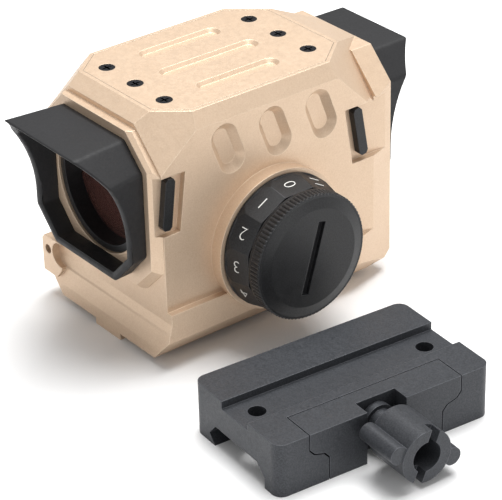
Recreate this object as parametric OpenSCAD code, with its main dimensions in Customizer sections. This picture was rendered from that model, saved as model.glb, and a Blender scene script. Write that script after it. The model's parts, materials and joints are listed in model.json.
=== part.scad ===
// Enclosed red dot sight with rubber hoods, a side brightness dial and a separate rail mount.
// Y runs along the line of sight, the front window looks towards -Y, the dial is on +X, +Z is up.
// The origin is on the underside of the sight's base tongue, midway between the end faces.

/* [Housing] */
// Length of the housing between its end faces
body_l = 72.8; // [71:0.2:74]
// Height of the top rim above the table
top_z = 62.9; // [62:0.1:64]
// Half width over the upper side walls
side_x = 23; // [22.8:0.1:23.4]
// Half width over the base
base_x = 24.75; // [24.4:0.05:25]
// Height of the optical axis above the table
axis_z = 39.6; // [39:0.1:40]
// Radius of the clear bore along the line of sight
bore_r = 14.5; // [13.5:0.1:14.6]
// Width of the tongue under the base
tongue_w = 10.2; // [9.8:0.1:10.4]

/* [Brightness dial] */
// Place of the dial axis along the housing
dial_y = -3; // [-4:0.5:-2]
// Height of the dial axis above the table
dial_z = 25.2; // [25:0.1:25.4]
// Radius of the numbered dial
dial_r = 17; // [16.6:0.1:17.2]
// Radius of the knurled battery cap
cap_r = 15.7; // [15.2:0.1:16]
// Number of dial positions
dial_steps = 12; // [12]
// Diameter of the coin cell
cell_d = 20; // [20]

/* [Hoods] */
// How far the front hood's visor reaches past the housing
visor_front = 15.8; // [14:0.1:16]
// How far the rear hood's visor reaches past the housing
visor_rear = 12.6; // [11:0.1:13]
// Wall of both rubber hoods
hood_wall = 2.2; // [2:0.1:2.6]

/* [Rail mount] */
// Length of the mount along the rail
mount_l = 57.9; // [56:0.1:60]
// Width of the mount across the rail
mount_w = 33.7; // [33.2:0.1:34]
// Height of the mount
mount_h = 13.5; // [13.4:0.1:14]
// Width of the rail that the mount grips, over its flanks
rail_w = 21.2; // [21.2]
// Turn of the mount on the table, about Z
mount_turn = -4.7; // [-6:0.1:0]
// Place of the mount's near left corner on the table, in X
mount_x = 47.2; // [45:0.1:60]
// Place of the mount's near left corner on the table, in Y
mount_y = -44.9; // [-60:0.1:-30]

/* [Hidden] */
$fn = 64;
big = 200;

// Colours
tan_c = [0.80, 0.70, 0.58];
black_c = [0.10, 0.10, 0.11];
rubber_c = [0.16, 0.16, 0.17];
anodised_c = [0.24, 0.25, 0.26];
steel_c = [0.70, 0.70, 0.72];
glass_c = [0.45, 0.30, 0.28];

// Housing outline
y0 = -body_l / 2;
y1 = body_l / 2;
base_z = 1.7;
base_step_z = 15.1;
side_top_z = top_z - 3.5;
rim_x = side_x - 2.6;
rim_front_y = y0 + 6;
rim_rear_y = y1 - 10.3;
face_top_z = top_z - 3.56;
step_back = 2.2;
flange_x = side_x - 2.46;
flange_top_x = 12.7;
flange_low_z = 26.1;
rear_flange_y = y1 - 6.1;
plate_t = 2.5;
plate_inset = 1;
cavity_x = 18.5;
cavity_y0 = -20;
cavity_y1 = 15;
cavity_z = 55.5;

// Screws of the top plate
plate_screw_x = 11.4;
plate_screw_front_y = -24.2;
plate_screw_rear_y = 18.2;
plate_screw_head_r = 1.9;
plate_screw_r = 1;

// Windows
window_r = 15.9;
window_y = y0 + 5;
window_t = 3.5;
ring_in_r = 14.4;
rear_window_r = 15;
rear_window_y = y1 - 6;

// Boss and dial
boss_r = 17.96;
boss_x = side_x + 3.5;
dial_x = boss_x + 0.3;
dial_l = 7;
cap_x = dial_x + dial_l + 0.4;
cap_l = 3.8;
cap_bevel = 0.8;
dial_seat_r = dial_r - 0.5;
spindle_r = 2.4;
switch_r = 7;
switch_x = 13.2;
detent_race_r = 12;
detent_ball_r = 1;
adjuster_z = 27;
windage_y = 25;
elevation_y = 15;
cell_r = cell_d / 2;
cell_x = cap_x - 2;

// Rail mount, in its own frame: x across the rail, y along it, z up
rail_c = 16.8;
roof_z = 5.4;
channel_d = 1.9;
hole_span = 46;
mount_hole_r = 2.1;
jaw_x = 25;
jaw_top_l = 40.9;
jaw_low_l = 30.6;
jaw_gap = 0.25;
notch_w = 10.6;
notch_d = 4.5;
bolt_z = 8;
bolt_r = 2;
nut_x = mount_w + 2.4;
nut_l = 12.2;
nut_r = 6.5;
wing_r = 10;
pin_span = 24;

// Axis helpers: extrude or turn shapes along X and Y
module along_x(x, l) {
    translate([x, 0, 0]) rotate([90, 0, 90]) linear_extrude(l) children();
}

module along_y(y, l) {
    translate([0, y + l, 0]) rotate([90, 0, 0]) linear_extrude(l) children();
}

module rod_x(x, y, z, l, r) {
    translate([x, y, z]) rotate([0, 90, 0]) cylinder(h = l, r = r);
}

module rod_y(x, y, z, l, r) {
    translate([x, y, z]) rotate([-90, 0, 0]) cylinder(h = l, r = r);
}

module rod_z(x, y, z, l, r) {
    translate([x, y, z]) cylinder(h = l, r = r);
}

module both_sides() {
    children();
    mirror([1, 0, 0]) children();
}

// Half space beyond point p, whose outward normal has azimuth az and elevation el
module beyond(p, az, el) {
    translate(p) rotate([0, -el, az]) translate([0, -big / 2, -big / 2]) cube(big);
}

// Obround pocket tool with sloped walls: long along its own y, floor at -depth
module dished_slot(l, w, floor_w, depth) {
    run = (l - w) / 2;
    lip = 0.3;
    flare = (w - floor_w) / 2 / depth * lip;
    for (s = [-1, 1]) {
        translate([0, s * run, -depth])
            cylinder(h = depth + lip, r1 = floor_w / 2, r2 = w / 2 + flare);
    }
    translate([0, run, 0]) rotate([90, 0, 0]) linear_extrude(2 * run)
        polygon([[-floor_w / 2, -depth], [floor_w / 2, -depth],
            [w / 2 + flare, lip], [-w / 2 - flare, lip]]);
}

// Outline of the top rim, inset by d
function rim_outline(d) = let(k = 0.41 * d, fx = 14, rx = 13.1, fy = rim_front_y + 7.6,
    ry = rim_rear_y - 8.8, sx = rim_x - d) [
    [-fx + k, rim_front_y + d], [fx - k, rim_front_y + d], [sx, fy + k], [sx, ry - k],
    [rx - k, rim_rear_y - d], [-rx + k, rim_rear_y - d], [-sx, ry - k], [-sx, fy + k]];

// Plan of the housing, with the side walls bevelled towards both end faces
function plan_outline() = [
    [-flange_x, y0], [flange_x, y0], [base_x, y0 + 3.6], [base_x, y1 - 8.5], [flange_x, y1],
    [-flange_x, y1], [-base_x, y1 - 8.5], [-base_x, y0 + 3.6]];

// Cross section of the housing's middle
function section_outline() = [
    [base_x - 5.65, base_z], [base_x, 7.9], [base_x, base_step_z], [side_x, base_step_z],
    [side_x, side_top_z], [rim_x, top_z], [-rim_x, top_z], [-side_x, side_top_z],
    [-side_x, base_step_z], [-base_x, base_step_z], [-base_x, 7.9], [5.65 - base_x, base_z]];

// Side profile of the housing, without the front flange
function profile_outline() = [
    [y0 + 0.6, base_z], [y0 + 0.6, 4.9], [y0 + 1.3, 9.6], [y0 + 1.6, 10.2],
    [y0 + step_back, 12.4], [y0 + step_back, face_top_z + 1.3], [rim_front_y, top_z],
    [rim_rear_y, top_z], [y1, face_top_z], [y1, 5.6], [y1 - 6.5, base_z]];

// Eight-sided end flange, seen along Y
function flange_outline(half_w, top_half_w, drop) = [
    [-top_half_w, face_top_z], [top_half_w, face_top_z],
    [half_w, face_top_z - (half_w - top_half_w)], [half_w, flange_low_z],
    [half_w - drop, flange_low_z - drop], [drop - half_w, flange_low_z - drop],
    [-half_w, flange_low_z], [-half_w, face_top_z - (half_w - top_half_w)]];

module housing_core() {
    difference() {
        intersection() {
            along_y(y0, body_l) polygon(section_outline());
            along_x(-big / 2, big) polygon(profile_outline());
        }
        both_sides() {
            beyond([flange_top_x, y0, face_top_z], -39.8, 38);
            beyond([13.05, rim_rear_y - 0.2, top_z], 40.7, 33);
            // walls sloping in to the two end faces
            beyond([flange_x, y1, 0], 18.2, 0);
        }
    }
}

module front_flange() {
    drop = 6.3;
    difference() {
        intersection() {
            along_y(y0, 9) polygon(flange_outline(side_x, flange_top_x + 1, drop + 1));
            linear_extrude(big) polygon(plan_outline());
        }
        both_sides() {
            beyond([flange_top_x, y0, face_top_z], -39.8, 38);
            beyond([flange_x, y0, 0], -41.3, 0);
            translate([flange_x, y0, flange_low_z]) rotate([0, 45, 0])
                beyond([0, 0, 0], -44, 0);
        }
        beyond([0, y0, face_top_z], -90, 59.3);
        beyond([0, y0, flange_low_z - drop], -90, -45);
    }
}

module rear_flange() {
    intersection() {
        along_y(rear_flange_y, y1 - rear_flange_y)
            polygon(flange_outline(side_x, 13.1, 6.3));
        along_x(-big / 2, big) polygon(profile_outline());
        linear_extrude(big) polygon([[-side_x, 0], [side_x, 0], [side_x, y1 - 7.5],
            [flange_x, y1], [-flange_x, y1], [-side_x, y1 - 7.5]]);
    }
}

// Lug at the left of the base, with the curved relief beside it
module base_ear() {
    difference() {
        along_y(y0, 8) polygon([[-26.1, 6.4], [-20.4, 6.4], [-18, 9.4], [-18, 16.6],
            [-25, 16.6], [-26.1, 15.4]]);
        rod_y(-18.6, y0 - 1, 13.2, 3.4, 3.3);
    }
}

module side_pockets() {
    floor_d = 1.7;
    translate([side_x - floor_d, 0, 0]) along_x(0, 8)
        polygon([[y0 - 2, 35.2], [-29.4, 35.2], [-27.4, 50.2], [y0 - 2, 50.2]]);
    translate([side_x - floor_d, 0, 0]) along_x(0, 8)
        polygon([[22.2, 35.2], [y1 + 2, 35.2], [y1 + 2, 50.2], [19.9, 50.2]]);
}

module scallops() {
    for (i = [-1:1]) {
        translate([side_x, i * 13.8 - 1.2, 51.8]) rotate([20, 0, 0]) rotate([90, 0, 90])
            dished_slot(13.6, 7.6, 4, 1.7);
    }
}

module dial_boss() {
    rod_x(side_x - 2, dial_y, dial_z, boss_x - side_x + 2, boss_r);
}

module housing_cuts() {
    // line of sight, with the seats of both windows and their rings
    rod_y(0, y0 - 1, axis_z, body_l + 2, bore_r);
    rod_y(0, y0 - 1, axis_z, window_y + window_t - y0 + 1, window_r + 0.3);
    rod_y(0, rear_window_y - 3, axis_z, 12, rear_window_r + 0.3);
    // recess and cavity under the top plate
    translate([0, 0, top_z - plate_t]) linear_extrude(10)
        polygon(rim_outline(plate_inset - 0.1));
    translate([-cavity_x, cavity_y0, cavity_z])
        cube([2 * cavity_x, cavity_y1 - cavity_y0, 20]);
    for (x = [-1, 0, 1]) {
        for (y = [plate_screw_front_y, plate_screw_rear_y]) {
            rod_z(x * plate_screw_x, y, top_z - plate_t - 4.2, 8, plate_screw_r);
        }
    }
    // dial seat, switch chamber and cable way
    rod_x(side_x - 0.5, dial_y, dial_z, 10, dial_seat_r + 0.3);
    rod_x(switch_x, dial_y, dial_z, 20, switch_r + 0.1);
    translate([16, dial_y - 2.2, dial_z + 2]) cube([3, 4.4, cavity_z - dial_z]);
    rod_x(side_x - 4, dial_y - detent_race_r, dial_z, 8, detent_ball_r + 0.1);
    // emitter bracket pocket and the two adjusters
    translate([-13, 12, 24.6]) cube([8.8, 16, 8]);
    for (y = [windage_y, elevation_y]) {
        rod_x(-side_x - 5, y, adjuster_z, 15.2, 1.6);
        rod_x(-side_x - 5, y, adjuster_z, 6.6, 3.1);
    }
    // set screw hole of the ear
    rod_y(-23.7, y0 - 1, 13, 7, 1.25);
    // base screw holes for the rail mount
    for (s = [-1, 1]) {
        rod_z(0, s * hole_span / 2, -1, 12, 1.65);
    }
}

module housing() {
    color(tan_c)
    difference() {
        union() {
            housing_core();
            front_flange();
            rear_flange();
            base_ear();
            dial_boss();
            translate([-tongue_w / 2, y0 + 0.6, 0]) cube([tongue_w, body_l - 7.1, 3]);
        }
        both_sides() side_pockets();
        both_sides() scallops();
        housing_cuts();
    }
}

module top_plate() {
    groove_depth = 0.9;
    color(tan_c)
    difference() {
        translate([0, 0, top_z - plate_t]) linear_extrude(plate_t)
            polygon(rim_outline(plate_inset));
        for (x = [-1, 0, 1]) {
            translate([x * plate_screw_x, x == 0 ? -2.6 : -2.8, top_z])
                dished_slot(x == 0 ? 28.5 : 23.5, 4.6, 2.8, groove_depth);
            for (y = [plate_screw_front_y, plate_screw_rear_y]) {
                rod_z(x * plate_screw_x, y, top_z - 5, 8, plate_screw_r + 0.1);
                rod_z(x * plate_screw_x, y, top_z - 1.4, 4, plate_screw_head_r + 0.1);
            }
        }
    }
}

module plate_screw() {
    difference() {
        union() {
            rod_z(0, 0, -1.3, 1.3, plate_screw_head_r);
            rod_z(0, 0, -6.4, 5.2, plate_screw_r);
        }
        for (turn = [0, 90]) {
            rotate([0, 0, turn]) translate([-1.2, -0.25, -0.8]) cube([2.4, 0.5, 2]);
        }
    }
}

module top_plate_screws() {
    color(black_c)
    for (x = [-1, 0, 1]) {
        for (y = [plate_screw_front_y, plate_screw_rear_y]) {
            translate([x * plate_screw_x, y, top_z - 0.05]) plate_screw();
        }
    }
}

// Eight-sided hood outline, inset by d
function hood_outline(d) = let(k = 0.41 * d, tx = 13.4, sx = 19.4, top = 57.1, low = 21.6) [
    [-tx + k, top - d], [tx - k, top - d], [sx - d, top - 6 - k], [sx - d, low + 7.6 + k],
    [11.8 - k, low + d], [k - 11.8, low + d], [d - sx, low + 7.6 + k], [d - sx, top - 6 - k]];

// Rubber hood on the -Y face: its free edge follows an arc from the visor down to a short wall
module hood(reach, low_reach) {
    arc_r = 31.4;
    arc_z = 33.3;
    difference() {
        along_y(y0 - reach, reach) polygon(hood_outline(0));
        along_y(y0 - reach - 1, reach + 2) polygon(hood_outline(hood_wall));
        rod_x(-big / 2, y0 - low_reach - arc_r, arc_z, big, arc_r);
        translate([-big / 2, y0 - low_reach - 2 * arc_r, -1])
            cube([big, 2 * arc_r, arc_z + 1]);
    }
}

module front_hood() {
    color(rubber_c) hood(visor_front, 4.8);
}

module rear_hood() {
    color(rubber_c) mirror([0, 1, 0]) hood(visor_rear, 1.8);
}

// Retaining bar lying in a side pocket; y0_bar at the top, y1_bar at the bottom
module hood_bar(top_y, low_y) {
    bar_w = 2.6;
    bar_h = 13;
    lean = atan2(low_y - top_y, bar_h);
    translate([side_x - 1.7, (top_y + low_y) / 2, 43.2]) rotate([lean, 0, 0])
        translate([0, -bar_w / 2, -bar_h / 2]) along_x(0, 1.9)
            polygon([[0.6, 0], [bar_w - 0.6, 0], [bar_w, 0.8], [bar_w, bar_h - 0.8],
                [bar_w - 0.6, bar_h], [0.6, bar_h], [0, bar_h - 0.8], [0, 0.8]]);
}

module front_hood_bars() {
    color(black_c) both_sides() hood_bar(-31.6, -33.2);
}

module rear_hood_bars() {
    color(black_c) both_sides() hood_bar(23.6, 25.8);
}

module front_window() {
    color(glass_c) rod_y(0, window_y, axis_z, window_t, window_r);
}

module front_retaining_ring() {
    color(black_c)
    difference() {
        rod_y(0, y0 + 0.6, axis_z, window_y - y0 - 0.6, window_r + 0.1);
        rod_y(0, y0, axis_z, 8, ring_in_r);
    }
}

module rear_window() {
    color(glass_c) rod_y(0, rear_window_y - 3, axis_z, 3, rear_window_r);
}

module rear_retaining_ring() {
    color(black_c)
    difference() {
        rod_y(0, rear_window_y, axis_z, 3.4, rear_window_r + 0.1);
        rod_y(0, rear_window_y - 1, axis_z, 6, rear_window_r - 1.5);
    }
}

module emitter_bracket() {
    color(black_c) {
        translate([-12.8, 12.2, 24.6]) cube([7.6, 14.8, 4.2]);
        translate([-10.8, 18.6, 28.6]) cube([3.6, 2.4, 4.4]);
    }
}

module led_emitter() {
    color("red") rod_y(-9, 15.8, 31.2, 2.8, 1.3);
}

// Ring with its axis along X
module ring_x(x, y, z, l, outer_r, inner_r) {
    difference() {
        rod_x(x, y, z, l, outer_r);
        rod_x(x - 1, y, z, l + 2, inner_r);
    }
}

// Bowed leaf between the bracket and the wall of its pocket
module bracket_spring() {
    color(steel_c) translate([0, 0, 25.4]) linear_extrude(2.6)
        polygon([[-5.15, 13], [-4.55, 20], [-5.15, 27], [-4.9, 27], [-4.3, 20], [-4.9, 13]]);
}

module circuit_board() {
    color("darkgreen") {
        translate([-13, cavity_y0 + 1, cavity_z]) cube([31, 32, 1.2]);
        translate([-8, -12, cavity_z + 1.1]) cube([7, 7, 1.4]);
        translate([3, -14, cavity_z + 1.1]) cube([4, 6, 1.2]);
    }
}

module flex_cable() {
    color("orange")
    translate([17.3, dial_y - 1.6, dial_z + switch_r]) cube([0.4, 3.2, cavity_z - dial_z - switch_r]);
}

module rotary_switch() {
    color(black_c) ring_x(switch_x, dial_y, dial_z, 7, switch_r, spindle_r + 0.05);
}

module dial_spindle() {
    color(steel_c) rod_x(switch_x + 0.4, dial_y, dial_z, dial_x - switch_x + 0.6, spindle_r);
}

// Twelve-sided numbered dial: flats that deepen towards the cap, and the battery tray inside
module brightness_dial() {
    lean = 12;
    color(black_c)
    difference() {
        union() {
            rod_x(side_x - 0.2, dial_y, dial_z, dial_x - side_x + 1, dial_seat_r);
            rod_x(dial_x, dial_y, dial_z, dial_l, dial_r);
            rod_x(dial_x + dial_l - 1, dial_y, dial_z, cap_x - dial_x - dial_l + 1, 14.6);
            rod_x(cap_x - 1, dial_y, dial_z, 2.6, 12.4);
        }
        for (i = [0:dial_steps - 1]) {
            translate([dial_x + 0.5, dial_y, dial_z]) rotate([i * 360 / dial_steps, 0, 0])
                translate([0, -8, dial_r - 0.25]) rotate([0, lean, 0])
                    cube([12, 16, 6]);
        }
        rod_x(cell_x, dial_y, dial_z, 20, cell_r + 0.3);
        rod_x(side_x - 2, dial_y, dial_z, dial_x - side_x + 3, spindle_r);
        translate([side_x - 0.2, dial_y, dial_z]) rotate([0, 90, 0])
            rotate_extrude() translate([detent_race_r, 0]) circle(r = detent_ball_r + 0.15);
    }
}

module detent_ball() {
    color(steel_c) translate([side_x - 0.3, dial_y - detent_race_r, dial_z]) sphere(r = detent_ball_r);
}

module detent_spring() {
    color(steel_c) ring_x(side_x - 4, dial_y - detent_race_r, dial_z, 2.8, 0.95, 0.6);
}

module battery() {
    color(steel_c) rod_x(cell_x + 0.6, dial_y, dial_z, 3.2, cell_r);
}

module battery_spring() {
    color("gold") {
        ring_x(cell_x, dial_y, dial_z, 0.3, 5, 3.6);
        ring_x(cell_x + 0.3, dial_y, dial_z, 0.3, 3.9, 2.6);
    }
}

// Knurled cap with a coin slot, screwed over the dial's threaded neck
module battery_cap() {
    skirt = 12.45;
    slot_l = 18.6;
    slot_w = 2.1;
    color(black_c)
    difference() {
        union() {
            rod_x(cap_x, dial_y, dial_z, cap_l, cap_r);
            translate([cap_x + cap_l, dial_y, dial_z]) rotate([0, 90, 0])
                cylinder(h = cap_bevel, r1 = cap_r - 0.4, r2 = 12.5);
        }
        rod_x(cap_x - 1, dial_y, dial_z, 3.4, skirt);
        translate([cap_x + cap_l + cap_bevel - 1.1, dial_y, dial_z]) rotate([-17, 0, 0])
            translate([0, -slot_w / 2, -slot_l / 2]) cube([3, slot_w, slot_l]);
    }
}

module cap_seal() {
    color(black_c)
    translate([cap_x + 2, dial_y, dial_z]) rotate([0, 90, 0])
        rotate_extrude() translate([11.6, 0]) circle(r = 0.38, $fn = 16);
}

// Slotted adjuster, head flush with the left wall
module adjuster(y, reach) {
    head_x = -side_x + 0.4;
    color(black_c)
    difference() {
        union() {
            rod_x(head_x, y, adjuster_z, 1.2, 3);
            rod_x(head_x + 1, y, adjuster_z, reach, 1.5);
        }
        translate([head_x - 1, y - 2.2, adjuster_z - 0.4]) cube([1.6, 4.4, 0.8]);
    }
}

module windage_screw() {
    adjuster(windage_y, 8.5);
}

module elevation_screw() {
    adjuster(elevation_y, 8.5);
}

module on_table() {
    translate([mount_x, mount_y, 0]) rotate([0, 0, mount_turn]) children();
}

// Block with rounded upright corners
module rounded_block(size, r) {
    translate([r, 0, 0]) cube([size[0] - 2 * r, size[1], size[2]]);
    translate([0, r, 0]) cube([size[0], size[1] - 2 * r, size[2]]);
    for (x = [r, size[0] - r]) {
        for (y = [r, size[1] - r]) {
            rod_z(x, y, 0, size[2], r);
        }
    }
}

// Cross section of the rail groove: one fixed flank, and open on the jaw's side
function rail_groove() = let(h = rail_w / 2 + 0.1, neck = 8) [
    [rail_c - neck, -1], [rail_c - neck, -0.5], [rail_c - h, 2.4], [rail_c - h + 2.7, roof_z],
    [rail_c + h - 2.1, roof_z], [28.4, 2.6], [28.4, -1]];

// Side view of the jaw, wide above and narrow below, grown by g all round
function jaw_side(g) = let(a = jaw_top_l / 2 + g, b = jaw_low_l / 2 + g, m = mount_l / 2) [
    [m - b, -1], [m + b, -1], [m + b, 6 - g], [m + b + 1.2, 7.4 - g], [m + a - 1.2, 8.2 - g],
    [m + a, 9.6 - g], [m + a, mount_h + 1], [m - a, mount_h + 1], [m - a, 9.6 - g],
    [m - a + 1.2, 8.2 - g], [m - b - 1.2, 7.4 - g], [m - b, 6 - g]];

module mount_base() {
    color(anodised_c) on_table()
    difference() {
        rounded_block([mount_w, mount_l, mount_h], 2.6);
        // channel for the sight's tongue
        translate([rail_c - tongue_w / 2 - 0.1, -1, mount_h - channel_d])
            cube([tongue_w + 0.2, mount_l + 2, channel_d + 1]);
        // groove for the rail, open on the jaw's side between the end legs
        along_y(-1, mount_l + 2) polygon(rail_groove());
        // seat of the jaw
        along_x(jaw_x, 20) polygon(jaw_side(jaw_gap));
        for (s = [-1, 1]) {
            rod_z(rail_c, mount_l / 2 + s * hole_span / 2, -1, 20, mount_hole_r);
            rod_x(jaw_x - 8, mount_l / 2 + s * pin_span / 2, bolt_z, 10, 1);
            rod_x(jaw_x - 4, mount_l / 2 + s * pin_span / 2, bolt_z, 10, 2.1);
        }
        rod_x(-1, mount_l / 2, bolt_z, 40, bolt_r + 0.1);
        rod_x(-1, mount_l / 2, bolt_z, 3, 3.6);
    }
}

module clamp_jaw() {
    color(anodised_c) on_table()
    difference() {
        intersection() {
            translate([jaw_x + jaw_gap, 0, 0])
                cube([mount_w - jaw_x - jaw_gap, mount_l, mount_h]);
            along_x(jaw_x - 1, 20) polygon(jaw_side(0));
        }
        // hook that grips the far flank of the rail
        along_y(-1, mount_l + 2) polygon([[20, -1], [25.6, -1], [rail_c + rail_w / 2 + 0.4, 2.4],
            [25.6, 4.6], [25.6, roof_z], [20, roof_z]]);
        translate([mount_w - notch_d, mount_l / 2 - notch_w / 2, -1])
            cube([notch_d + 1, notch_w, mount_h + 2]);
        rod_x(jaw_x - 1, mount_l / 2, bolt_z, 20, bolt_r + 0.15);
        for (s = [-1, 1]) {
            rod_x(jaw_x - 1, mount_l / 2 + s * pin_span / 2, bolt_z, 6, 1.05);
        }
    }
}

module jaw_guide_pins() {
    color(steel_c) on_table()
    for (s = [-1, 1]) {
        rod_x(jaw_x - 7.8, mount_l / 2 + s * pin_span / 2, bolt_z, 11.8, 1);
    }
}

module jaw_springs() {
    color(steel_c) on_table()
    for (s = [-1, 1]) {
        ring_x(jaw_x - 3.9, mount_l / 2 + s * pin_span / 2, bolt_z, 3.8, 1.9, 1.15);
    }
}

module clamp_bolt() {
    color(steel_c) on_table() {
        rod_x(0.1, mount_l / 2, bolt_z, 1.8, 3.5);
        rod_x(1.8, mount_l / 2, bolt_z, nut_x + nut_l - 8, bolt_r);
    }
}

// Two-winged nut with a coin slot, its collar turning in the jaw's notch
module thumb_nut() {
    collar_x = mount_w - notch_d + 0.1;
    nut_tilt = -22;
    wing_tip_r = 2.2;
    color(anodised_c) on_table()
    difference() {
        union() {
            rod_x(collar_x, mount_l / 2, bolt_z, 1.8, 4);
            rod_x(collar_x, mount_l / 2, bolt_z, nut_x - collar_x + 1, 3);
            rod_x(nut_x, mount_l / 2, bolt_z, nut_l, nut_r);
            translate([nut_x + 0.3, mount_l / 2, bolt_z]) rotate([nut_tilt, 0, 0])
                for (s = [-1, 1]) {
                    translate([0, s * (wing_r - wing_tip_r), 0]) rotate([0, 90, 0])
                        cylinder(h = nut_l - 0.6, r = wing_tip_r);
                    translate([0, s > 0 ? 5 : wing_tip_r - wing_r, -1.7])
                        cube([nut_l - 0.6, wing_r - wing_tip_r - 5, 3.4]);
                }
        }
        rod_x(collar_x - 1, mount_l / 2, bolt_z, 30, bolt_r + 0.05);
        rod_x(nut_x + 3, mount_l / 2, bolt_z, 20, 3.7);
        translate([nut_x + nut_l - 3, mount_l / 2, bolt_z]) rotate([nut_tilt, 0, 0])
            translate([0, -1.2, -10]) cube([6, 2.4, 20]);
    }
}

housing();
top_plate();
top_plate_screws();
front_hood();
rear_hood();
front_hood_bars();
rear_hood_bars();
front_window();
front_retaining_ring();
rear_window();
rear_retaining_ring();
emitter_bracket();
led_emitter();
bracket_spring();
circuit_board();
flex_cable();
rotary_switch();
dial_spindle();
brightness_dial();
detent_ball();
detent_spring();
battery();
battery_spring();
battery_cap();
cap_seal();
windage_screw();
elevation_screw();
mount_base();
clamp_jaw();
jaw_guide_pins();
jaw_springs();
clamp_bolt();
thumb_nut();
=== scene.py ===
"""Enclosed red dot sight with its rail mount beside it. Metres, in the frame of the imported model."""
import json
import math

import bmesh
import bpy
from mathutils import Matrix, Vector


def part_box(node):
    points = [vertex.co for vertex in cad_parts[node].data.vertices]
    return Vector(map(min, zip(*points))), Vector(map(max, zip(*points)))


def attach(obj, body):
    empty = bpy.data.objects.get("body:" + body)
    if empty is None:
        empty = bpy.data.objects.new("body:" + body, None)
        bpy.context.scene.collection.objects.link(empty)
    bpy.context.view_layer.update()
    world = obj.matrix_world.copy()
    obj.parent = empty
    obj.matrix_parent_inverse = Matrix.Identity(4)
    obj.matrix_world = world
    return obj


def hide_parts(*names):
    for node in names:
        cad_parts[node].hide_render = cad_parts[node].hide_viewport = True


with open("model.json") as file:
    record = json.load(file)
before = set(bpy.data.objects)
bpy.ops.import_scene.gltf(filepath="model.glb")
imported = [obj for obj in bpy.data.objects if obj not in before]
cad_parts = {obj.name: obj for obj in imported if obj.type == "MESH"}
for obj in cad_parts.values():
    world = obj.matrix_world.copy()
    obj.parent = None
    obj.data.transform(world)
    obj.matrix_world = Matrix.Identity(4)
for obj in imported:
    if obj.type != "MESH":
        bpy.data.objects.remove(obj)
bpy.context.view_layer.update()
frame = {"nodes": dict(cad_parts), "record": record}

MM = 0.001

# Places taken from the frame
HOUSING_LOW, HOUSING_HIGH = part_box("housing")
CAP_LOW, CAP_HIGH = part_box("battery_cap")
FRONT_LOW, FRONT_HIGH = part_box("front_hood")
DIAL_Y = (CAP_LOW[1] + CAP_HIGH[1]) / 2
DIAL_Z = (CAP_LOW[2] + CAP_HIGH[2]) / 2


# ---------------------------------------------------------------- materials

def linear(colour):
    """Linear values of an sRGB colour given as 0..255."""
    out = []
    for c in colour:
        c = c / 255
        out.append(c / 12.92 if c <= 0.04045 else ((c + 0.055) / 1.055) ** 2.4)
    return (*out, 1)


class Nodes:
    """Short calls for building one material's node tree."""

    def __init__(self, name):
        self.material = bpy.data.materials.new(name)
        self.material.use_nodes = True
        self.tree = self.material.node_tree
        self.shader = self.tree.nodes["Principled BSDF"]
        self.coords = self.tree.nodes.new("ShaderNodeTexCoord").outputs["Object"]

    def new(self, kind, inputs=None, **settings):
        node = self.tree.nodes.new(kind)
        for key, value in settings.items():
            setattr(node, key, value)
        for key, value in (inputs or {}).items():
            if isinstance(value, bpy.types.NodeSocket):
                self.tree.links.new(value, node.inputs[key])
            else:
                node.inputs[key].default_value = value
        return node

    def noise(self, size, detail=2.0):
        """Noise whose features are about size metres across."""
        inputs = {"Vector": self.coords, "Scale": 1 / size, "Detail": detail}
        return self.new("ShaderNodeTexNoise", inputs).outputs["Fac"]

    def ramp(self, fac, low, high):
        """fac mapped to low..high."""
        return self.new("ShaderNodeMapRange", {"Value": fac, "From Min": 0.3, "From Max": 0.7,
                                               "To Min": low, "To Max": high}).outputs["Result"]

    def mix(self, fac, a, b):
        node = self.new("ShaderNodeMix", data_type="RGBA")
        sockets = {"fac": node.inputs[0], "a": node.inputs[6], "b": node.inputs[7]}
        for key, value in {"fac": fac, "a": a, "b": b}.items():
            if isinstance(value, bpy.types.NodeSocket):
                self.tree.links.new(value, sockets[key])
            else:
                sockets[key].default_value = value
        return node.outputs[2]

    def edges(self, radius):
        """Normal with softened edges, and a mask that is 1 on them."""
        bevel = self.new("ShaderNodeBevel", {"Radius": radius}, samples=6).outputs["Normal"]
        flat = self.new("ShaderNodeNewGeometry").outputs["Normal"]
        dot = self.new("ShaderNodeVectorMath", {0: bevel, 1: flat}, operation="DOT_PRODUCT")
        mask = self.new("ShaderNodeMapRange", {"Value": dot.outputs["Value"], "From Min": 0.995,
                                               "From Max": 0.93, "To Min": 0.0, "To Max": 1.0})
        return bevel, mask.outputs["Result"]

    def bump(self, height, strength, distance, normal=None):
        inputs = {"Height": height, "Strength": strength, "Distance": distance}
        if normal is not None:
            inputs["Normal"] = normal
        return self.new("ShaderNodeBump", inputs).outputs["Normal"]

    def link(self, socket, name):
        self.tree.links.new(socket, self.shader.inputs[name])


def anodised(name, colour, dark, roughness, grain, edge_light, metallic=0.0, edge=0.25 * MM):
    """Bead-blasted, anodised aluminium: fine grain, faint mottling and a painted highlight that
    lightens the edges.
    """
    n = Nodes(name)
    normal, mask = n.edges(edge)
    base = n.mix(n.noise(9 * MM, 4), linear(dark), linear(colour))
    speck = n.mix(n.ramp(n.noise(0.35 * MM, 3), 0.0, 0.22), base, linear(edge_light))
    # Painted highlight: the edges are mixed towards edge_light, standing in for light caught on the
    # rounded edges.
    edge_highlight = n.new("ShaderNodeMath", {0: mask, 1: 0.55}, operation="MULTIPLY").outputs[0]
    n.link(n.mix(edge_highlight, speck, linear(edge_light)), "Base Color")
    n.link(n.ramp(n.noise(1.2 * MM, 3), roughness - 0.05, roughness + 0.06), "Roughness")
    n.link(n.bump(n.noise(0.28 * MM, 3), 0.35, grain, normal), "Normal")
    n.shader.inputs["Metallic"].default_value = metallic
    n.shader.inputs["Specular IOR Level"].default_value = 0.3
    return n.material


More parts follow.
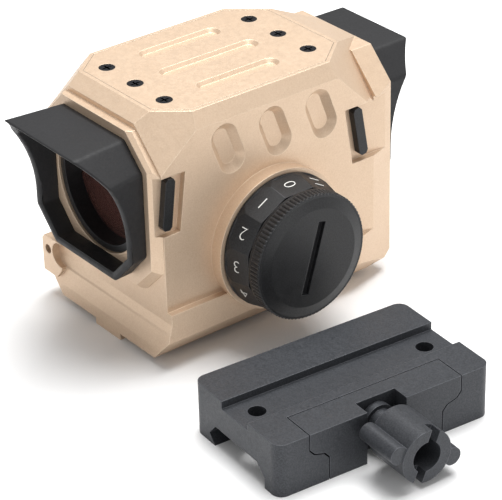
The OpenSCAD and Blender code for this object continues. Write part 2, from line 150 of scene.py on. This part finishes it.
def rubber(name):
    """Matt moulded rubber with a fine leathery grain."""
    n = Nodes(name)
    base = n.mix(n.noise(7 * MM, 4), linear((24, 24, 25)), linear((33, 33, 35)))
    n.link(n.mix(n.ramp(n.noise(0.5 * MM, 3), 0.0, 0.35), base, linear((42, 42, 44))), "Base Color")
    n.link(n.ramp(n.noise(1.5 * MM, 3), 0.52, 0.66), "Roughness")
    cells = n.new("ShaderNodeTexVoronoi", {"Vector": n.coords, "Scale": 1 / (0.6 * MM)})
    leather = n.bump(cells.outputs["Distance"], 0.35, 0.05 * MM)
    n.link(n.bump(n.noise(0.25 * MM, 2), 0.25, 0.03 * MM, leather), "Normal")
    n.shader.inputs["Specular IOR Level"].default_value = 0.35
    return n.material


def coated_glass(name):
    """Window with a warm reflecting coat that varies slowly over its face."""
    n = Nodes(name)
    n.link(n.mix(n.noise(18 * MM, 1), linear((96, 62, 58)), linear((128, 88, 80))), "Base Color")
    n.link(n.ramp(n.noise(4 * MM, 2), 0.02, 0.06), "Roughness")
    n.shader.inputs["Metallic"].default_value = 0.25
    n.shader.inputs["Transmission Weight"].default_value = 0.55
    n.shader.inputs["IOR"].default_value = 1.52
    n.shader.inputs["Coat Weight"].default_value = 0.6
    return n.material


def metal(name, colour, roughness, lines=0.4 * MM):
    """Turned or drawn metal with fine tool marks."""
    n = Nodes(name)
    n.link(n.mix(n.noise(2 * MM, 4), linear([c * 0.86 for c in colour]), linear(colour)), "Base Color")
    stretched = n.new("ShaderNodeMapping", {"Vector": n.coords, "Scale": (12, 1, 1)}).outputs["Vector"]
    marks = n.new("ShaderNodeTexNoise", {"Vector": stretched, "Scale": 1 / lines}).outputs["Fac"]
    n.link(n.ramp(marks, roughness - 0.06, roughness + 0.08), "Roughness")
    n.link(n.bump(marks, 0.2, 0.02 * MM, n.edges(0.12 * MM)[0]), "Normal")
    n.shader.inputs["Metallic"].default_value = 1.0
    return n.material


def plastic(name, colour, roughness, edge=0.15 * MM):
    """Moulded plastic or film with a faint mould grain."""
    n = Nodes(name)
    n.link(n.mix(n.noise(3 * MM, 4), linear([c * 0.82 for c in colour]), linear(colour)), "Base Color")
    n.link(n.ramp(n.noise(0.8 * MM, 3), roughness - 0.05, roughness + 0.07), "Roughness")
    n.link(n.bump(n.noise(0.3 * MM, 2), 0.2, 0.02 * MM, n.edges(edge)[0]), "Normal")
    return n.material


def board(name):
    """Solder-masked board with copper tracks showing through as paler lines."""
    n = Nodes(name)
    bricks = {"Vector": n.coords, "Scale": 260.0, "Mortar Size": 0.08}
    tracks = n.new("ShaderNodeTexBrick", bricks).outputs["Fac"]
    n.link(n.mix(tracks, linear((20, 74, 38)), linear((54, 120, 66))), "Base Color")
    n.link(n.ramp(n.noise(2 * MM, 3), 0.3, 0.42), "Roughness")
    n.link(n.bump(tracks, 0.3, 0.04 * MM), "Normal")
    return n.material


def paint(name, colour):
    """White marking paint."""
    n = Nodes(name)
    n.link(n.mix(n.noise(0.4 * MM, 3), linear([c * 0.9 for c in colour]), linear(colour)), "Base Color")
    n.link(n.ramp(n.noise(0.5 * MM, 2), 0.5, 0.62), "Roughness")
    return n.material


MATERIALS = {
    "tan_anodised": anodised("tan_anodised", (212, 186, 160), (203, 176, 149), 0.42, 0.04 * MM,
                             (246, 228, 206), metallic=0.45),
    "black_anodised": anodised("black_anodised", (24, 24, 25), (18, 18, 19), 0.36, 0.02 * MM,
                               (70, 71, 74), metallic=0.0),
    "grey_anodised": anodised("grey_anodised", (52, 54, 58), (45, 47, 50), 0.42, 0.025 * MM,
                              (112, 114, 120), metallic=0.25),
    "hood_rubber": rubber("hood_rubber"),
    "coated_glass": coated_glass("coated_glass"),
    "steel": metal("steel", (196, 197, 200), 0.28),
    "black_steel": metal("black_steel", (58, 58, 62), 0.34),
    "contact_brass": metal("contact_brass", (224, 190, 112), 0.25),
    "board_green": board("board_green"),
    "black_plastic": plastic("black_plastic", (40, 40, 42), 0.45),
    "amber_film": plastic("amber_film", (196, 128, 44), 0.35),
    "red_lamp": plastic("red_lamp", (190, 30, 24), 0.2),
    "white_paint": paint("white_paint", (232, 232, 228)),
}

for part in frame["record"]["subparts"]:
    cad = frame["nodes"][part["node"]]
    cad.data.materials.clear()
    cad.data.materials.append(MATERIALS[part["material_slot"]])


def piece(name, mesh, body, slot, smooth=True):
    """Object for a finished mesh, riding on body and finished as slot."""
    obj = bpy.data.objects.new(name, mesh)
    bpy.context.scene.collection.objects.link(obj)
    mesh.materials.append(MATERIALS[slot])
    if smooth:
        mesh.shade_smooth()
    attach(obj, body)
    return obj


def skin(name, rings):
    """Mesh through rings of equal length, the last joined to the first."""
    bm = bmesh.new()
    rows = [[bm.verts.new(p) for p in ring] for ring in rings]
    count = len(rows[0])
    for a, b in zip(rows, rows[1:] + rows[:1]):
        for i in range(count):
            j = (i + 1) % count
            bm.faces.new((a[i], a[j], b[j], b[i]))
    bmesh.ops.recalc_face_normals(bm, faces=bm.faces)
    mesh = bpy.data.meshes.new(name)
    bm.to_mesh(mesh)
    bm.free()
    return mesh


# ---------------------------------------------------------------- rubber hoods

HOOD_TOP = FRONT_HIGH[2]
HOOD_LOW = FRONT_LOW[2]
ARC_R = 31.4 * MM
ARC_Z = 33.3 * MM
CORNER_R = 1.8 * MM
CORNER_STEPS = 6
EDGE_STEPS = 10
HOOD_ROWS = 14
LIP_SET_BACK = 0.35 * MM
LIP_SHOULDER = 0.08 * MM


def octagon(inset):
    """Corners of the hood's outline, seen along the line of sight, inset from the outside."""
    k = 0.41 * inset
    top_x, side_x, low_x = 12.4 * MM, 18.9 * MM, 11.8 * MM
    shoulder = HOOD_TOP - 6.4 * MM
    hip = HOOD_LOW + 7.6 * MM
    right = [(top_x - k, HOOD_TOP - inset), (side_x - inset, shoulder - k),
             (side_x - inset, hip + k), (low_x - k, HOOD_LOW + inset)]
    return right + [(-x, z) for x, z in reversed(right)]


def rounded(corners, radius):
    """The outline with rounded corners and evenly divided edges. Equal counts for any radius."""
    points = []
    count = len(corners)
    tangents = []
    for i, corner in enumerate(corners):
        here = Vector(corner)
        before = (Vector(corners[i - 1]) - here).normalized()
        after = (Vector(corners[(i + 1) % count]) - here).normalized()
        half = before.angle(after) / 2
        cut = radius / math.tan(half)
        tangents.append((here, here + before * cut, here + after * cut))
    for i, (here, start, end) in enumerate(tangents):
        for step in range(CORNER_STEPS + 1):
            t = step / CORNER_STEPS
            points.append(start * (1 - t) ** 2 + here * (2 * t * (1 - t)) + end * t ** 2)
        following = tangents[(i + 1) % count][1]
        for step in range(1, EDGE_STEPS):
            points.append(end.lerp(following, step / EDGE_STEPS))
    return points


def hood(name, node, direction, seat, low_reach, top_reach, flare, wall):
    """Hood on the seat plane, standing out along direction (-1 is -Y), replacing its CAD node."""

    def reach(z):
        """How far the free edge stands out at height z."""
        drop = min(max(0.0, z - ARC_Z), HOOD_TOP - ARC_Z)
        return min(low_reach + ARC_R - math.sqrt(ARC_R ** 2 - drop ** 2), top_reach)

    def ring(outline, part, pull):
        points = []
        for x, z in outline:
            far = reach(z) * part - pull
            widen = 1 + flare * far / top_reach
            points.append((x * widen, seat + direction * far, z))
        return points

    outer = rounded(octagon(0), CORNER_R)
    inner = rounded(octagon(wall), CORNER_R * 0.7)
    lip = [rounded(octagon(wall * part), CORNER_R * 0.85) for part in (0.12, 0.5, 0.88)]
    rings = [ring(outer, i / HOOD_ROWS, 0) for i in range(HOOD_ROWS)]
    rings.append(ring(outer, 1, LIP_SET_BACK))
    rings += [ring(lip[0], 1, LIP_SHOULDER), ring(lip[1], 1, 0), ring(lip[2], 1, LIP_SHOULDER)]
    rings.append(ring(inner, 1, LIP_SET_BACK))
    rings += [ring(inner, i / HOOD_ROWS, 0) for i in reversed(range(HOOD_ROWS))]
    obj = piece(name, skin(name, rings), "sight", "hood_rubber")
    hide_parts(node)


hood("front_hood_rubber", "front_hood", -1, HOUSING_LOW[1], 4.8 * MM, 15.7 * MM, 0.13, 1.9 * MM)
hood("rear_hood_rubber", "rear_hood", 1, HOUSING_HIGH[1], 1.8 * MM, 12.5 * MM, -0.02, 1.8 * MM)


# ---------------------------------------------------------------- knurled cap and numerals

def around_dial(x, radius, angle):
    """Point at distance radius from the dial's axis, angle measured from +Z towards -Y."""
    return (x, DIAL_Y - radius * math.sin(angle), DIAL_Z + radius * math.cos(angle))


def knurl(name, low_x, high_x, ridges, root, crest):
    """Band of straight ridges round the cap, tapered at both ends."""
    count = ridges * 4
    wave = (0.0, 0.75, 1.0, 0.75)
    rings = []
    turns = [2 * math.pi * i / count for i in range(count)]
    for x, part in ((low_x, 0), (low_x + 0.25 * MM, 1), (high_x - 0.3 * MM, 1), (high_x, 0.1)):
        rings.append([around_dial(x, root + (crest - root) * wave[i % 4] * part, turns[i])
                      for i in range(count)])
    for x in (high_x, low_x):
        rings.append([around_dial(x, root - 0.6 * MM, turn) for turn in turns])
    obj = piece(name, skin(name, rings), "battery_cap", "black_anodised", smooth=False)


CAP_R = (CAP_HIGH[2] - CAP_LOW[2]) / 2
knurl("cap_knurling", CAP_LOW[0] + 0.7 * MM, CAP_HIGH[0] - 0.75 * MM, 92,
      CAP_R - 0.05 * MM, CAP_R + 0.3 * MM)

FACET_LEAN = math.radians(12)
FACET_R = 16.75 * MM
FACET_X = 27.3 * MM
NUMERAL_X = 30.3 * MM
NUMERAL_HEIGHT = 3.0 * MM
NUMERAL_LIFT = 0.02 * MM
DIAL_STEPS = 12


def numeral(number):
    """White number lying on its facet of the dial, with its top towards the higher numbers."""
    name = f"dial_numeral_{number}"
    text = bpy.data.curves.new(name, "FONT")
    text.body = str(number)
    text.align_x = "CENTER"
    text.align_y = "CENTER"
    text.extrude = 0.01
    text.offset = -0.022
    text.size = 1
    carrier = bpy.data.objects.new(name + "_text", text)
    bpy.context.scene.collection.objects.link(carrier)
    evaluated = carrier.evaluated_get(bpy.context.evaluated_depsgraph_get())
    mesh = bpy.data.meshes.new_from_object(evaluated)
    bpy.data.objects.remove(carrier)
    xs = [v.co.x for v in mesh.vertices]
    ys = [v.co.y for v in mesh.vertices]
    centre = Vector(((min(xs) + max(xs)) / 2, (min(ys) + max(ys)) / 2, 0))
    size = NUMERAL_HEIGHT / (max(ys) - min(ys))
    angle = 2 * math.pi * number / DIAL_STEPS
    radial = Vector((0, -math.sin(angle), math.cos(angle)))
    up = -Vector((0, math.cos(angle), math.sin(angle)))
    right = radial * math.sin(FACET_LEAN) - Vector((math.cos(FACET_LEAN), 0, 0))
    normal = radial * math.cos(FACET_LEAN) + Vector((math.sin(FACET_LEAN), 0, 0))
    radius = FACET_R - (NUMERAL_X - FACET_X) * math.tan(FACET_LEAN)
    place = Vector(around_dial(NUMERAL_X, radius, angle)) + normal * NUMERAL_LIFT
    turn = Matrix((right, up, normal)).transposed()
    for v in mesh.vertices:
        v.co = place + turn @ ((v.co - centre) * size)
    mesh.materials.clear()
    piece(name, mesh, "brightness_dial", "white_paint", smooth=False)


for number in range(DIAL_STEPS):
    numeral(number)


# ---------------------------------------------------------------- floor, light and camera

def stage_floor():
    mesh = bpy.data.meshes.new("floor")
    half = 3.0
    corners = [(-half, -half, 0), (half, -half, 0), (half, half, 0), (-half, half, 0)]
    mesh.from_pydata(corners, [], [(0, 1, 2, 3)])
    n = Nodes("floor_paper")
    n.link(n.mix(n.noise(0.3, 2), linear((246, 246, 246)), linear((250, 250, 250))), "Base Color")
    n.shader.inputs["Roughness"].default_value = 0.9
    mesh.materials.append(n.material)
    floor = bpy.data.objects.new("floor", mesh)
    bpy.context.scene.collection.objects.link(floor)


def softbox(name, azimuth, elevation, distance, size, watts, target=(0, 0, 0.03)):
    """Area light at azimuth (0 looks along +Y) and elevation, facing the target."""
    light = bpy.data.lights.new(name, "AREA")
    light.shape = "RECTANGLE"
    light.size, light.size_y = size
    light.energy = watts
    obj = bpy.data.objects.new(name, light)
    bpy.context.scene.collection.objects.link(obj)
    obj.location = Vector(target) + view_back(azimuth, elevation) * distance
    obj.rotation_euler = view_back(azimuth, elevation).to_track_quat("Z", "Y").to_euler()


def view_back(azimuth, elevation):
    """Unit vector from the target towards a viewer who looks along that azimuth."""
    az, el = math.radians(azimuth), math.radians(elevation)
    return Vector((math.sin(az) * math.cos(el), -math.cos(az) * math.cos(el), math.sin(el)))


def set_camera():
    azimuth, elevation, roll = 52.64, 29.62, math.radians(-1.47)
    target = Vector((11.37, -0.36, 14.59)) * MM
    distance = 573.2 * MM
    back = view_back(azimuth, elevation)
    az = math.radians(azimuth)
    right = Vector((math.cos(az), math.sin(az), 0))
    up = back.cross(right)
    rolled_right = right * math.cos(roll) + up * math.sin(roll)
    rolled_up = up * math.cos(roll) - right * math.sin(roll)
    camera = bpy.data.cameras.new("camera")
    camera.lens = 168.6
    camera.sensor_width = 36
    camera.sensor_fit = "HORIZONTAL"
    camera.clip_start = 0.01
    obj = bpy.data.objects.new("camera", camera)
    bpy.context.scene.collection.objects.link(obj)
    axes = Matrix((rolled_right, rolled_up, back)).transposed().to_4x4()
    obj.matrix_world = Matrix.Translation(target + back * distance) @ axes
    bpy.context.scene.camera = obj


def set_world():
    world = bpy.data.worlds.new("studio")
    world.use_nodes = True
    background = world.node_tree.nodes["Background"]
    background.inputs["Color"].default_value = (1, 1, 1, 1)
    background.inputs["Strength"].default_value = 0.42
    bpy.context.scene.world = world


stage_floor()
set_world()
softbox("key", 200, 80, 0.8, (0.6, 0.6), 10.5)
softbox("side", 95, 8, 0.9, (0.7, 0.3), 1.6)
softbox("front", -10, 10, 0.9, (0.5, 0.4), 0.6)
bpy.context.scene.view_settings.view_transform = "Standard"
set_camera()
